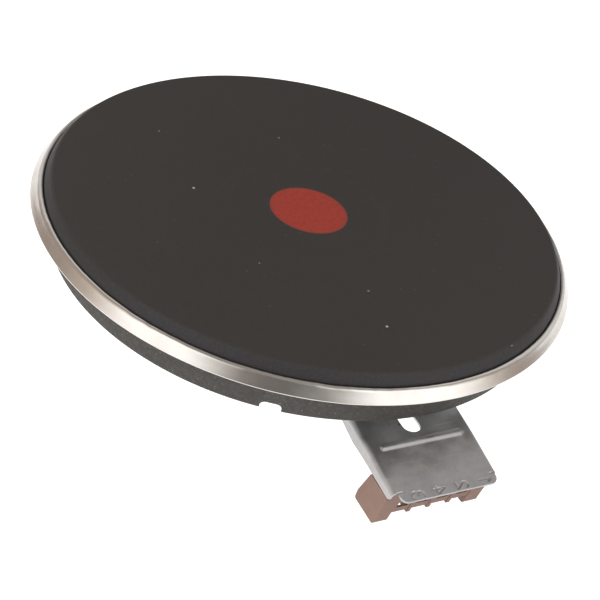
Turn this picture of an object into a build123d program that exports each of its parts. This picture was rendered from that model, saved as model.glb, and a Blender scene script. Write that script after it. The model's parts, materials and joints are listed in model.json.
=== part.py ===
from build123d import *
import os
from math import asin, cos, degrees, radians, sin, sqrt, tan

# Sealed cast-iron hot plate for a hob, 220 mm size, with spill ring, terminal bracket and
# ceramic terminal block. Millimetres, +Z up. The origin is on the plate's axis at the level
# of the hob's top, where the spill ring rests. The terminal bracket points towards -Y.

# --- Driving dimensions -------------------------------------------------------------------
TOP_Z = 9.7                 # cooking surface above the hob
TOP_R = 107.0               # flat cooking surface
EDGE_R = 109.5              # side of the cast plate
RECESS_R = 33.0             # middle of the soft step round the central recess
RECESS_DEPTH = 0.8
DOT_R = 16.6
DOT_DEPTH = 0.4
WEB = 5.0                   # thickness of the cooking surface
RIB_Z = -3.3                # lower edge of the groove walls
SKIRT_TOP_R = 106.8
SKIRT_R = 104.3             # outside of the skirt at its lower edge
SKIRT_IN_R = 101.0
SKIRT_Z = -16.1             # lower edge of the skirt
NOTCH_W = 8.3
NOTCH_H = 3.6
NOTCH_AZ = -124.8           # azimuth of the notch in the skirt, degrees from +X

RING_T = 0.5
RING_R = 114.5              # outside of the spill ring at the hob

COIL_RADII = {"inner": 59.3, "middle": 73.5, "outer": 88.5}
COIL_R = 2.2                # envelope of the coiled wire
COIL_Z = 0.7
GROOVE_W = 9.0
COMPOUND_Z = -2.3
PAD_T = 4.0
BUS_Z = -10.0               # level of the bare leads between the pad and the cover
LEAD_R = 0.6

COVER_T = 0.8
COVER_Z = -15.0             # lower face of the bottom cover
COVER_R = 99.6
STUD_R = 4.0
STUD_END_Z = -38.0
RELIEF_Z = -23.9            # lower end of the thread relief

SHEET_T = 1.0
BRACKET_W = 49.4
BRACKET_START_R = 16.0
BEND_R = 46.0               # where the root tab turns down
BEAD_R = 107.0
BEAD_TOP_Z = -26.3
FLANGE_END_R = 127.0
FLANGE_END_Z = -31.1
TONGUE_R = 131.6
TONGUE_X = 0.7              # the tongue sits slightly to one side
TONGUE_W = 45.0
SLOPE = 13.5                # fall of the outer part of the bracket, degrees
SLOT_W = 7.8
SLOT_R = (86.0, 102.9)
BUSH_R = 58.6               # distance of the lead bush from the axis

PITCH = 9.5                 # terminal pitch
TERMINAL_X = [-1.5 * PITCH, -0.5 * PITCH, 0.5 * PITCH, 1.5 * PITCH]
LEAD_X = [-15.0, -9.0, 9.0, 15.0]
RIB_T = 1.5
CHAMBER_W = PITCH - RIB_T
SCREW_U = -5.4              # terminal screw axis, along the bracket from the flange end
FRONT_U = -0.5              # front face of the terminal block
PLATE_TOP = -8.4            # top of the terminal plates, below the bracket
PLATE_T = 1.0
FRONT_T = 1.2               # front wall of the terminal block
WASHER_GAP = 0.3
WASHER_T = 1.1
WASHER_W = 6.6
SCREW_R = 1.9
HEAD_R = 3.0
HEAD_H = 2.2

CUTOUT_Y = 22.0             # thermal cut-out, behind the centre boss
PIVOT_X = -13.0
PIVOT_Z = -6.6

fall = radians(SLOPE)
# Local frame of the terminal end: origin on the bracket's top face where the flanges end,
# x outward down the slope, y across the bracket, z square to its face.
TERMINAL_END = Plane(
    origin=(0, -FLANGE_END_R, FLANGE_END_Z),
    x_dir=(0, -cos(fall), -sin(fall)),
    z_dir=(0, -sin(fall), cos(fall)),
).location


# --- Helpers --------------------------------------------------------------------------------
def turned(points, radii=0.0):
    """A ring or disc turned about the Z axis from a closed outline of (radius, height)."""
    outline = FilletPolyline(*points, radius=radii, close=True)
    return revolve(Plane.XZ * make_face(outline), Axis.Z)


def annulus(inner, outer, bottom, top):
    return turned([(inner, bottom), (outer, bottom), (outer, top), (inner, top)])


def disc(radius, bottom, top, at=(0, 0)):
    centre = Location((at[0], at[1], (bottom + top) / 2))
    return centre * Cylinder(radius, top - bottom)


def block(x, y, z):
    """A box from its lowest and highest coordinate on each axis."""
    size = Box(x[1] - x[0], y[1] - y[0], z[1] - z[0])
    return Location(((x[0] + x[1]) / 2, (y[0] + y[1]) / 2, (z[0] + z[1]) / 2)) * size


def stadium(length, width, bottom, top, at):
    """An upright long-hole shape, its length along X."""
    shape = Location((at[0], at[1], bottom)) * SlotOverall(length, width)
    return extrude(shape, top - bottom)


def side_slab(points, half_width, radii=0.0):
    """A side outline of (distance from the axis, height), extruded both ways across."""
    outline = FilletPolyline(*[(-r, z) for r, z in points], radius=radii, close=True)
    return extrude(Plane.YZ * make_face(outline), half_width, both=True)


def across(points, from_y, to_y, radii=0.0):
    """An outline of (x, z) in the terminal end's frame, extruded between two y values."""
    outline = FilletPolyline(*points, radius=radii, close=True)
    # Plane.XZ faces -Y, so the start is mirrored.
    start = Plane.XZ.offset(-to_y)
    return extrude(start * make_face(outline), to_y - from_y)


def wire(points, radii):
    path = FilletPolyline(*points, radius=radii)
    start = Plane(origin=path @ 0, z_dir=path % 0)
    return sweep(start * Circle(LEAD_R), path=path)


def rod_between(first, last, radius):
    line = Line(first, last)
    return extrude(Plane(origin=line @ 0, z_dir=line % 0) * Circle(radius), line.length)


# --- Plate ----------------------------------------------------------------------------------
def plate_body():
    web_z = TOP_Z - WEB
    floor_z = TOP_Z - RECESS_DEPTH
    casting = turned(
        [
            (0, floor_z),
            (RECESS_R - 1.8, floor_z),
            (RECESS_R + 1.8, TOP_Z),
            (TOP_R, TOP_Z),
            (EDGE_R - 0.25, 6.2),
            (EDGE_R, 5.2),
            (EDGE_R, 2.5),
            (EDGE_R - 0.8, 2.5),
            (EDGE_R - 0.8, 1.3),
            (EDGE_R, 1.3),
            (EDGE_R, 0.6),
            (SKIRT_TOP_R, -0.6),
            (SKIRT_R + 0.5, SKIRT_Z + 0.5),
            (SKIRT_R, SKIRT_Z),
            (SKIRT_IN_R, SKIRT_Z),
            (SKIRT_IN_R + 0.4, 3.5),
            (97.5, 3.5),
            (97.5, RIB_Z),
            (50.0, RIB_Z),
            (50.0, web_z),
            (8.5, web_z),
            (8.5, COVER_Z + COVER_T),
            (STUD_R, COVER_Z + COVER_T),
            (STUD_R, 1.0),
            (0, 1.0),
        ],
        [0, 3.0, 3.0, 0.6, 0.8, 0.6] + [0] * 19,
    )
    casting -= disc(DOT_R, floor_z - DOT_DEPTH, floor_z + 1)
    for radius in COIL_RADII.values():
        half = GROOVE_W / 2
        casting -= annulus(radius - half, radius + half, RIB_Z - 1, web_z)
    for x in (LEAD_X[0], LEAD_X[1], LEAD_X[3]):
        # Passage for the bare leads across the groove walls.
        casting -= block((x - 1.5, x + 1.5), (-96, -50), (RIB_Z - 1, RIB_Z + 1))
    notch = Box(12, NOTCH_W, 2 * NOTCH_H)
    notch = fillet(notch.edges().filter_by(Axis.X), 1.2)
    casting -= Rot(0, 0, NOTCH_AZ) * Location((SKIRT_R - 2, 0, SKIRT_Z)) * notch
    return casting


def red_dot():
    floor_z = TOP_Z - RECESS_DEPTH
    return disc(DOT_R, floor_z - DOT_DEPTH, floor_z)


def spill_ring():
    """Rolled sheet: a foot in the plate's groove, a leg, the sloping band and a flat hem."""
    half = RING_T / 2
    line = FilletPolyline(
        (EDGE_R - 0.55, 1.9),
        (EDGE_R + 0.45, 1.9),
        (EDGE_R + 0.45, 5.15),
        (112.5, 2.95),
        (RING_R + 0.2, half),
        (112.9, half),
        radius=[0.4, 0.5, 6.0, 0.5],
    )
    return revolve(Plane.XZ * trace(line, line_width=RING_T), Axis.Z)


# --- Heating circuit --------------------------------------------------------------------------
COIL_END_X = {"outer": LEAD_X[0], "middle": LEAD_X[1], "inner": LEAD_X[2]}


def groove_y(name, x):
    """Where a coil's circle stands over the line of a lead."""
    return -sqrt(COIL_RADII[name] ** 2 - x**2)


def heating_coil(name):
    """A coil from the common lead round the back to its own lead."""
    radius = COIL_RADII[name]
    start = degrees(asin(LEAD_X[3] / radius))
    turn = 360 + degrees(asin(COIL_END_X[name] / radius)) - start
    line = Plane.XY.offset(COIL_Z) * CenterArc((0, 0), radius, start - 90, turn)
    return sweep(Plane(origin=line @ 0, z_dir=line % 0) * Circle(COIL_R), path=line)


def embedding_compound(coils, leads):
    """Pressed magnesia that fills each groove round its coil."""
    filling = []
    for name, radius in COIL_RADII.items():
        half = GROOVE_W / 2
        ring = annulus(radius - half, radius + half, COMPOUND_Z, TOP_Z - WEB) - coils[name]
        for lead in leads:
            ring -= lead
        filling.append(ring)
    return Compound(children=[solid for ring in filling for solid in ring.solids()])


def insulating_pad():
    pad = annulus(50.5, 97.0, RIB_Z - 0.1 - PAD_T, RIB_Z - 0.1)
    for name, x in COIL_END_X.items():
        pad -= disc(1.2, -10, 0, (x, groove_y(name, x)))
        pad -= disc(1.2, -10, 0, (LEAD_X[3], groove_y(name, LEAD_X[3])))
    return pad


def lead_leg(x):
    """First and last point of a lead's straight run under the bracket."""
    return Vector(x, -BUSH_R, -20.9), Vector(x, -104.0, -29.4)


def tab_point(x):
    """Middle of a terminal plate's weld tab."""
    return (TERMINAL_END * Location((-16.6, x, PLATE_TOP - PLATE_T / 2))).position


def lead_wire(index):
    x = LEAD_X[index]
    name = {0: "outer", 1: "middle", 2: "inner", 3: "outer"}[index]
    start_y = groove_y(name, x)
    under, end = lead_leg(x)
    run = [under, end, tab_point(TERMINAL_X[index])]
    if name == "inner":
        return wire([(x, start_y, COIL_Z), *run], [2.5, 2.0])
    head = [(x, start_y, COIL_Z), (x, start_y, BUS_Z), (x, -BUSH_R, BUS_Z)]
    return wire(head + run, [1.5, 1.5, 2.5, 2.0])


def common_lead():
    """The lead that all three coils share, with a branch up to each."""
    lead = lead_wire(3)
    x = LEAD_X[3]
    inner_y = groove_y("inner", x)
    lead += rod_between((x, -BUSH_R - 4, BUS_Z), (x, inner_y, BUS_Z), LEAD_R)
    for name in ("middle", "inner"):
        lead += rod_between((x, groove_y(name, x), BUS_Z), (x, groove_y(name, x), COIL_Z), LEAD_R)
    return lead


def lead_sleeve(index):
    under, end = lead_leg(LEAD_X[index])
    first = under + (end - under) * 0.09
    last = under + (end - under) * 0.91
    return rod_between(first, last, 1.6) - rod_between(under, end, LEAD_R + 0.1)


def lead_bush():
    """Ceramic bush with four holes, standing in the cover and the bracket's window."""
    at = (0, -BUSH_R)
    top = COVER_Z + COVER_T
    body = stadium(38.0, 9.0, -18.7, top, at)
    body += stadium(42.0, 12.0, top, top + 2.0, at)
    for x in LEAD_X:
        body -= disc(LEAD_R + 0.1, -21, top + 3, (x, -BUSH_R))
    return body


# --- Underside --------------------------------------------------------------------------------
BRACKET_RIVET_Y = (-24.0, -38.0)
CUTOUT_RIVET_X = (-17.0, 17.0)
PIN_Y = 60.0


def bottom_cover():
    half = COVER_T / 2
    mid = COVER_Z + half
    line = FilletPolyline(
        (STUD_R + 0.3, mid),
        (70.0, mid),
        (72.0, mid + 1.5),
        (76.0, mid + 1.5),
        (78.0, mid),
        (COVER_R - half, mid),
        (COVER_R - half, -8.0),
        radius=[0.8, 0.8, 0.8, 0.8, 1.2],
    )
    cover = revolve(Plane.XZ * trace(line, line_width=COVER_T), Axis.Z)
    cover -= stadium(38.4, 9.4, -20, -10, (0, -BUSH_R))
    holes = [(0, y, 2.0) for y in BRACKET_RIVET_Y]
    holes += [(x, CUTOUT_Y, 1.5) for x in CUTOUT_RIVET_X]
    holes += [(0, PIN_Y, 2.5)]
    for x, y, radius in holes:
        cover -= disc(radius, -20, -10, (x, y))
    return cover


def centre_stud():
    """Stud screwed into the boss, with a thread relief just below its nut."""
    stud = chamfer(disc(STUD_R, STUD_END_Z, 1.0).edges().sort_by(Axis.Z)[0], 0.8)
    return stud - annulus(STUD_R - 0.7, STUD_R + 1, RELIEF_Z, COVER_Z - 1.6 - 6.5)


def centre_washer():
    return annulus(STUD_R + 0.2, 11.0, COVER_Z - 1.6, COVER_Z)


def centre_nut():
    top = COVER_Z - 1.6
    shape = Location((0, 0, top - 6.5)) * RegularPolygon(7.5, 6)
    nut = extrude(shape, 6.5) & turned(
        [(0, top - 6.5), (6.6, top - 6.5), (8.4, top - 5.5), (8.4, top), (0, top)]
    )
    return nut - disc(STUD_R, top - 7, top)


def locating_pin():
    """Peg that stops the plate turning in the hob, riveted through the cover."""
    pin = disc(2.5, COVER_Z, COVER_Z + COVER_T, (0, PIN_Y))
    pin += disc(4.0, COVER_Z + COVER_T, COVER_Z + COVER_T + 0.8, (0, PIN_Y))
    pin += disc(4.0, COVER_Z - 1.5, COVER_Z, (0, PIN_Y))
    body = disc(3.0, COVER_Z - 10.0, COVER_Z - 1.5, (0, PIN_Y))
    return pin + chamfer(body.edges().sort_by(Axis.Z)[0], 0.7)


# --- Thermal cut-out --------------------------------------------------------------------------
BASE_Z = (COVER_Z + COVER_T, -3.0)


def cutout_base():
    base = block((-19, 19), (14, 30), BASE_Z)
    base = fillet(base.edges().filter_by(Axis.Z), 2.0)
    base -= block((-15.2, 14.8), (17, 27), (-10, 0))
    base -= Location((PIVOT_X, CUTOUT_Y, PIVOT_Z)) * Rot(90, 0, 0) * Cylinder(0.6, 13)
    for x in CUTOUT_RIVET_X:
        base -= disc(1.5, -16, 0, (x, CUTOUT_Y))
    return base


def cutout_pivot():
    return Location((PIVOT_X, CUTOUT_Y, PIVOT_Z)) * Rot(90, 0, 0) * Cylinder(0.6, 12.9)


def contact_arm():
    """Spring arm with a rolled eye on the pivot and a silver contact at its free end."""
    arm = block((PIVOT_X, 13.2), (20, 24), (PIVOT_Z + 0.95, PIVOT_Z + 1.35))
    arm += Location((PIVOT_X, CUTOUT_Y, PIVOT_Z)) * Rot(90, 0, 0) * Cylinder(1.35, 4)
    arm -= Location((PIVOT_X, CUTOUT_Y, PIVOT_Z)) * Rot(90, 0, 0) * Cylinder(0.66, 6)
    return arm + disc(1.5, PIVOT_Z + 1.35, PIVOT_Z + 2.1, (11.5, CUTOUT_Y))


def fixed_contact():
    strip = block((9.6, 13.4), (15, 29), (BASE_Z[1], BASE_Z[1] + 0.6))
    return strip + disc(1.5, PIVOT_Z + 2.2, BASE_Z[1], (11.5, CUTOUT_Y))


def bimetal_cup():
    """Cup on the base that holds the bimetal disc close under the cooking surface."""
    cup = turned([(1.1, -3), (8, -3), (8, 4.3), (7.2, 4.3), (7.2, 3.2), (1.1, 3.2)])
    return Location((0, CUTOUT_Y, 0)) * cup


def bimetal_disc():
    return disc(7.1, 3.25, 3.75, (0, CUTOUT_Y))


def push_pin():
    return disc(1.0, PIVOT_Z + 1.45, 3.0, (0, CUTOUT_Y))


def cutout_rivets():
    rivets = []
    for x in CUTOUT_RIVET_X:
        at = (x, CUTOUT_Y)
        rivet = disc(1.5, COVER_Z, BASE_Z[1], at) + disc(1.9, BASE_Z[1], BASE_Z[1] + 0.8, at)
        rivets.append(rivet + disc(2.6, COVER_Z - 1.0, COVER_Z, at))
    return Compound(children=rivets)


# --- Terminal bracket ---------------------------------------------------------------------------
SHEET_TOP = [
    (BRACKET_START_R, COVER_Z),
    (BEND_R, COVER_Z),
    (BEAD_R, BEAD_TOP_Z),
    (TONGUE_R, FLANGE_END_Z - (TONGUE_R - FLANGE_END_R) * tan(fall)),
]


def bracket_sheet():
    """The folded sheet: a root tab, two slopes and a flange down each long side."""
    below = [(r, z - SHEET_T / cos(fall)) for r, z in reversed(SHEET_TOP)]
    below[-1] = (BRACKET_START_R, COVER_Z - SHEET_T)
    below[-2] = (BEND_R - 0.1, COVER_Z - SHEET_T)
    sheet = side_slab(SHEET_TOP + below, BRACKET_W / 2, [0, 6.0, 60.0, 0, 0, 59.0, 5.0, 0])
    start_z = COVER_Z - (62.0 - BEND_R) * tan(radians(10.5))
    flange = [
        (62.0, start_z),
        (BEAD_R, BEAD_TOP_Z),
        (FLANGE_END_R, FLANGE_END_Z),
        (FLANGE_END_R, FLANGE_END_Z - 4.3),
        (98.0, BEAD_TOP_Z - 4.7),
        (62.0, start_z - SHEET_T),
    ]
    walls = side_slab(flange, BRACKET_W / 2, [0, 60.0, 0, 1.5, 8.0, 0])
    inside = BRACKET_W / 2 - SHEET_T
    walls -= block((-inside, inside), (-140, 0), (-60, 0))
    return sheet + walls


def tongue_outline():
    plate = block((-BRACKET_W / 2, BRACKET_W / 2), (-FLANGE_END_R, 0), (-60, 0))
    tongue = block((TONGUE_X - TONGUE_W / 2, TONGUE_X + TONGUE_W / 2), (-TONGUE_R, -120), (-60, 0))
    corners = tongue.edges().filter_by(Axis.Z).group_by(Axis.Y)[0]
    return plate + fillet(corners, 3.0)


def bead_bar(length, width, bottom, top):
    """A long bar across the sheet at the bead, in the terminal end's frame."""
    at = Location(((FLANGE_END_R - BEAD_R) / -cos(fall), 0, bottom)) * Rot(0, 0, 90)
    return extrude(at * SlotOverall(length, width), top - bottom)


def stroke(points, radii=None):
    line = FilletPolyline(*points, radius=radii) if radii else Polyline(*points)
    return trace(line, line_width=0.7)


def digit(shape):
    """Stroke digits 5 high, standing on y = 0 and centred on x = 0."""
    if shape == "1":
        return stroke([(-1.0, 3.8), (0.3, 5.0), (0.3, 0)])
    if shape == "2":
        bow = [(-1.3, 3.9), (-1.3, 5.0), (1.2, 5.0), (1.2, 3.2), (-1.2, 0.2)]
        return stroke(bow, [0.9, 1.0, 0.8]) + stroke([(-1.5, 0.2), (1.5, 0.2)])
    if shape == "3":
        upper = stroke([(-1.2, 5.0), (1.2, 5.0), (1.2, 2.7), (-0.3, 2.7)], [0.9, 0.9])
        return upper + stroke([(-0.4, 2.7), (1.4, 2.7), (1.4, 0), (-1.3, 0)], [1.1, 1.1])
    return stroke([(0.6, 5.0), (-1.4, 1.5), (1.5, 1.5)]) + stroke([(0.6, 0), (0.6, 3.0)])


def stamped_digits():
    """Terminal numbers, stamped to be read from below, so they are mirrored from above."""
    marks = []
    for text, across_y in (("3", -14.2), ("4", -4.0), ("2", 6.6), ("1", 17.4)):
        frame = Plane(origin=(2.3, across_y - 2.5, 0.2), x_dir=(-1, 0, 0), z_dir=(0, 0, -1))
        glyph = extrude(frame * digit(text), 0.55)
        marks.append(TERMINAL_END * glyph)
    return marks


def terminal_bracket():
    sheet = bracket_sheet() & tongue_outline()
    bead = bead_bar(39.5, 3.2, -0.6, 0.75)
    bead = fillet(bead.edges().group_by(Axis.Z)[-1], 0.7)
    sheet += TERMINAL_END * bead
    sheet -= TERMINAL_END * bead_bar(37.9, 1.6, -2.0, -0.2)
    for start, end in ((-26, -18.8), (21.0, 26)):
        sheet -= TERMINAL_END * block((-0.45, 0.45), (start, end), (-3, 2))
    middle = (SLOT_R[0] + SLOT_R[1]) / 2
    slot = Location((0, -middle, -40)) * (Rot(0, 0, 90) * SlotOverall(SLOT_R[1] - SLOT_R[0], SLOT_W))
    sheet -= extrude(slot, 25)
    sheet -= stadium(40.0, 11.0, -30, -10, (0, -BUSH_R))
    for y in BRACKET_RIVET_Y:
        sheet -= disc(2.0, -20, -10, (0, y))
    for mark in stamped_digits():
        sheet -= mark
    return sheet


def bracket_rivets():
    rivets = []
    for y in BRACKET_RIVET_Y:
        rivet = disc(2.0, COVER_Z - SHEET_T, COVER_Z + COVER_T, (0, y))
        rivet += disc(3.4, COVER_Z + COVER_T, COVER_Z + COVER_T + 1.4, (0, y))
        rivets.append(rivet + disc(3.4, COVER_Z - SHEET_T - 1.4, COVER_Z - SHEET_T, (0, y)))
    return Compound(children=rivets)


# --- Terminal block -----------------------------------------------------------------------------
def terminal_block():
    """Ceramic body: broad end walls under the flanges, thin ribs and four open chambers."""
    inner = 2 * PITCH - RIB_T / 2
    front, chamber_front = FRONT_U, FRONT_U - FRONT_T
    ribs = [(-13.0, -1.3), (front, -1.3), (front, -17.8), (-14.0, -19.8), (-14.9, -16.0)]
    body = across(ribs, -inner, inner, 0.4)
    upper = [(-13.0, -1.3), (front, -1.3), (front, -6.7), (-13.4, -6.7)]
    lower = [(-13.7, -5.9), (front, -4.6), (front, -21.2), (-14.6, -23.0), (-15.2, -18.5)]
    for side in (-1, 1):
        ends = sorted((side * inner, side * 23.4))
        body += across(upper, ends[0], ends[1], 0.3)
        ends = sorted((side * inner, side * BRACKET_W / 2))
        body += across(lower, ends[0], ends[1], [0.6, 0.6, 1.6, 1.2, 1.2])
    for y in TERMINAL_X:
        half = CHAMBER_W / 2
        top = PLATE_TOP + 0.1
        chamber = [(-12.0, top), (chamber_front, top), (chamber_front, -26), (-12.0, -26)]
        body -= across(chamber, y - half, y + half)
        # The front wall is lower and further back than the ribs, so each rib shows as a step.
        body -= block((chamber_front - 1, front + 1), (y - half, y + half), (-26, -15.8))
        body -= block((front - 0.3, front + 1), (y - half, y + half), (-16, -6.9))
        window = [(-4, -12.8), (2, -12.8), (2, -9.4), (-4, -9.4)]
        body -= across(window, y - 2.7, y + 2.7, 0.9)
        # Slot for the terminal plate in the back wall.
        body -= block((-20, -11), (y - 3.3, y + 3.3), (PLATE_TOP - PLATE_T - 0.1, PLATE_TOP + 0.1))
        # Clearance for the screw's tip.
        body -= disc(SCREW_R + 0.4, PLATE_TOP, -5.4, (SCREW_U, y))
    return TERMINAL_END * body


def terminal_plate(index):
    y = TERMINAL_X[index]
    plate = block((-18.0, FRONT_U - FRONT_T - 0.3), (y - 3.2, y + 3.2), (PLATE_TOP - PLATE_T, PLATE_TOP))
    plate -= disc(SCREW_R + 0.08, -12, -5, (SCREW_U, y))
    return TERMINAL_END * plate


def clamp_washer(index):
    """Square wire clamp with its front and back lips turned towards the plate."""
    y = TERMINAL_X[index]
    top = PLATE_TOP - PLATE_T - WASHER_GAP
    half = WASHER_W / 2
    plate = block((SCREW_U - half, SCREW_U + half), (y - half, y + half), (top - WASHER_T, top))
    plate = fillet(plate.edges().filter_by(Axis.Z), 0.8)
    plate -= block((SCREW_U - half + 1, SCREW_U + half - 1), (y - half, y + half), (top - 0.25, top))
    plate -= disc(SCREW_R + 0.3, -16, -5, (SCREW_U, y))
    return TERMINAL_END * plate


def terminal_screw(index):
    """Cheese-head screw, its slot facing down."""
    y = TERMINAL_X[index]
    seat = PLATE_TOP - PLATE_T - WASHER_GAP - WASHER_T
    head = disc(HEAD_R, seat - HEAD_H, seat, (SCREW_U, y))
    head = fillet(head.edges().sort_by(Axis.Z)[0], 0.5)
    screw = head + disc(SCREW_R, seat, -6.0, (SCREW_U, y))
    screw -= block((SCREW_U - 0.5, SCREW_U + 0.5), (y - 4, y + 4), (seat - HEAD_H - 1, seat - 1.1))
    return TERMINAL_END * screw


# --- Assembly -----------------------------------------------------------------------------------
def build():
    leads = [lead_wire(0), lead_wire(1), lead_wire(2), common_lead()]
    coils = {name: heating_coil(name) for name in COIL_RADII}
    parts = {
        "plate_body": plate_body(),
        "red_dot": red_dot(),
        "spill_ring": spill_ring(),
        "embedding_compound": embedding_compound(coils, leads),
        "insulating_pad": insulating_pad(),
        "lead_bush": lead_bush(),
        "bottom_cover": bottom_cover(),
        "centre_stud": centre_stud(),
        "centre_washer": centre_washer(),
        "centre_nut": centre_nut(),
        "locating_pin": locating_pin(),
        "cutout_base": cutout_base(),
        "cutout_pivot": cutout_pivot(),
        "contact_arm": contact_arm(),
        "fixed_contact": fixed_contact(),
        "bimetal_cup": bimetal_cup(),
        "bimetal_disc": bimetal_disc(),
        "push_pin": push_pin(),
        "cutout_rivets": cutout_rivets(),
        "terminal_bracket": terminal_bracket(),
        "bracket_rivets": bracket_rivets(),
        "terminal_block": terminal_block(),
    }
    for name, coil in coils.items():
        parts[f"heating_coil_{name}"] = coil
    for index in range(4):
        number = index + 1
        parts[f"lead_wire_{number}"] = leads[index]
        parts[f"lead_sleeve_{number}"] = lead_sleeve(index)
        parts[f"terminal_plate_{number}"] = terminal_plate(index)
        parts[f"clamp_washer_{number}"] = clamp_washer(index)
        parts[f"terminal_screw_{number}"] = terminal_screw(index)
    return parts


os.makedirs("parts", exist_ok=True)
for name, shape in build().items():
    export_step(shape, f"parts/{name}.step")
    print(name)
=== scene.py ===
# %% [markdown]
# # A sealed hot plate, finished around its CAD frame
#
# The object is a cast-iron hot plate for a hob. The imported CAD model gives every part's
# place and size. This lesson keeps that frame still and gives it good looks: the parts that
# are seen most are modelled again with finer meshes, and every other part gets a finish.
# All lengths are in metres, and the bracket points towards -Y.

# %% Load the frame
import json
import math

import bmesh
import bpy
from mathutils import Matrix, Vector, noise


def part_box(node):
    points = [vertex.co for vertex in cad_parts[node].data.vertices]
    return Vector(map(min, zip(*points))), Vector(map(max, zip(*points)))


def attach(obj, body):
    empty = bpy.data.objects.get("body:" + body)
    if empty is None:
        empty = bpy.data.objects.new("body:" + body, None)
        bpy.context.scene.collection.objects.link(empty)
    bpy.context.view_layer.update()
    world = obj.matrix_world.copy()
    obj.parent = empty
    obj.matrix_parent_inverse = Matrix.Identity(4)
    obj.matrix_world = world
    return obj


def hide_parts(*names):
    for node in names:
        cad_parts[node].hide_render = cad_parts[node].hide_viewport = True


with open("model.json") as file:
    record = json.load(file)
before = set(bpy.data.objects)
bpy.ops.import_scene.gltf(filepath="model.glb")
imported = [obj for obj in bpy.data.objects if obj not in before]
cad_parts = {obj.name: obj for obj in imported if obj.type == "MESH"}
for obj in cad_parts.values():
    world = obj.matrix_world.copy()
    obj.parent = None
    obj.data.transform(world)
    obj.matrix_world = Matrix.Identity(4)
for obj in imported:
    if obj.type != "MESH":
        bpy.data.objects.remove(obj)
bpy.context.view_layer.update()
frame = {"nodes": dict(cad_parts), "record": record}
MM = 0.001

# %% [markdown]
# ## Sizes that the frame gives
#
# A rebuilt piece has to sit exactly where its CAD node sits, so its main sizes are read from
# the node's box instead of being typed again. Only small shape details, such as a corner
# radius, are written as numbers.

# %% Measure the frame
plate_low, plate_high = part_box("plate_body")
ring_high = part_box("spill_ring")[1]
dot_low, dot_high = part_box("red_dot")
sheet_low, sheet_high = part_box("terminal_bracket")
TOP_Z = plate_high.z
EDGE_R = plate_high.x
SKIRT_Z = plate_low.z
FLOOR_Z = dot_high.z
print(f"cooking surface at {TOP_Z / MM:.1f} mm, plate edge at {EDGE_R / MM:.1f} mm")

# %% [markdown]
# ## The camera
#
# The camera comes before the shapes, so that every later choice can be looked at from the
# same place. It looks down at the plate past its front left, and it is rolled a little, which
# tips the disc. The aim is the middle of the cooking surface, moved sideways in the picture
# by a small shift of the camera itself, so the lens needs no shift.

# %% Make the camera
VIEW_AZIMUTH = math.radians(-38.3)
VIEW_ELEVATION = math.radians(34.63)
VIEW_ROLL = math.radians(15.41)
VIEW_DISTANCE = 758.6 * MM
VIEW_OFFSET = (3.80 * MM, 37.92 * MM)
LENS_MM = 109.6
SENSOR_MM = 36.0


def camera_axes():
    """Right, up and back of the camera, in the frame."""
    level = math.cos(VIEW_ELEVATION)
    right = Vector((math.cos(VIEW_AZIMUTH), math.sin(VIEW_AZIMUTH), 0))
    back = Vector((right.y * level, -right.x * level, math.sin(VIEW_ELEVATION)))
    turn = Matrix.Rotation(VIEW_ROLL, 3, back)
    return turn @ right, turn @ back.cross(right), back


def make_camera():
    right, up, back = camera_axes()
    data = bpy.data.cameras.new("lens")
    data.lens = LENS_MM
    data.sensor_width = SENSOR_MM
    camera = bpy.data.objects.new("camera", data)
    bpy.context.scene.collection.objects.link(camera)
    place = Vector((0, 0, TOP_Z)) + back * VIEW_DISTANCE
    place -= right * VIEW_OFFSET[0] + up * VIEW_OFFSET[1]
    turn = Matrix((right, up, back)).transposed().to_4x4()
    camera.matrix_world = Matrix.Translation(place) @ turn
    bpy.context.scene.camera = camera
    return camera


camera = make_camera()
print("camera at", [round(v, 3) for v in camera.location])

# %% [markdown]
# ## Helpers for shader nodes
#
# The studio's walls and every finish are built from shader nodes. Adding a node, setting its
# values and linking it would take several lines each time, so short functions do that, and
# the code that uses them reads as a list of what is mixed with what.

# %% Node helpers
def put(tree, kind, links=(), **values):
    """Adds a node, sets its values and links its inputs."""
    node = tree.nodes.new("ShaderNode" + kind)
    for key, value in values.items():
        if hasattr(node, key):
            setattr(node, key, value)
        else:
            node.inputs[key.replace("_", " ")].default_value = value
    for socket, source in links:
        tree.links.new(source, node.inputs[socket])
    return node


def math_node(tree, operation, first, second=None):
    node = tree.nodes.new("ShaderNodeMath")
    node.operation = operation
    for socket, value in zip(node.inputs, (first, second)):
        if isinstance(value, (int, float)):
            socket.default_value = value
        elif value is not None:
            tree.links.new(value, socket)
    return node.outputs[0]


def spread(tree, value, low, high, new_low=0.0, new_high=1.0):
    """Stretches a range of a value onto another, smoothly and without overshoot."""
    node = put(tree, "MapRange", [("Value", value)], interpolation_type="SMOOTHSTEP")
    ends = {"From Min": low, "From Max": high, "To Min": new_low, "To Max": new_high}
    for socket, number in ends.items():
        node.inputs[socket].default_value = number
    return node.outputs["Result"]


def blend_colours(tree, mask, first, second):
    """A colour that goes from first to second as the mask goes from 0 to 1."""
    node = tree.nodes.new("ShaderNodeMix")
    node.data_type = "RGBA"
    tree.links.new(mask, node.inputs["Factor"])
    for socket, colour in ((node.inputs[6], first), (node.inputs[7], second)):
        if isinstance(colour, tuple):
            socket.default_value = (*colour, 1)
        else:
            tree.links.new(colour, socket)
    return node.outputs[2]


print("node helpers ready")

# %% [markdown]
# ## Light and floor
#
# A product studio is mostly soft light: a pale sweep below and bright panels all round, with
# darker gaps between them. The polished ring shows the panels as long white streaks, so the
# room's walls are drawn as a ramp of brightness against compass direction. The few lamps
# only add soft light, and are kept out of the reflections.

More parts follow.
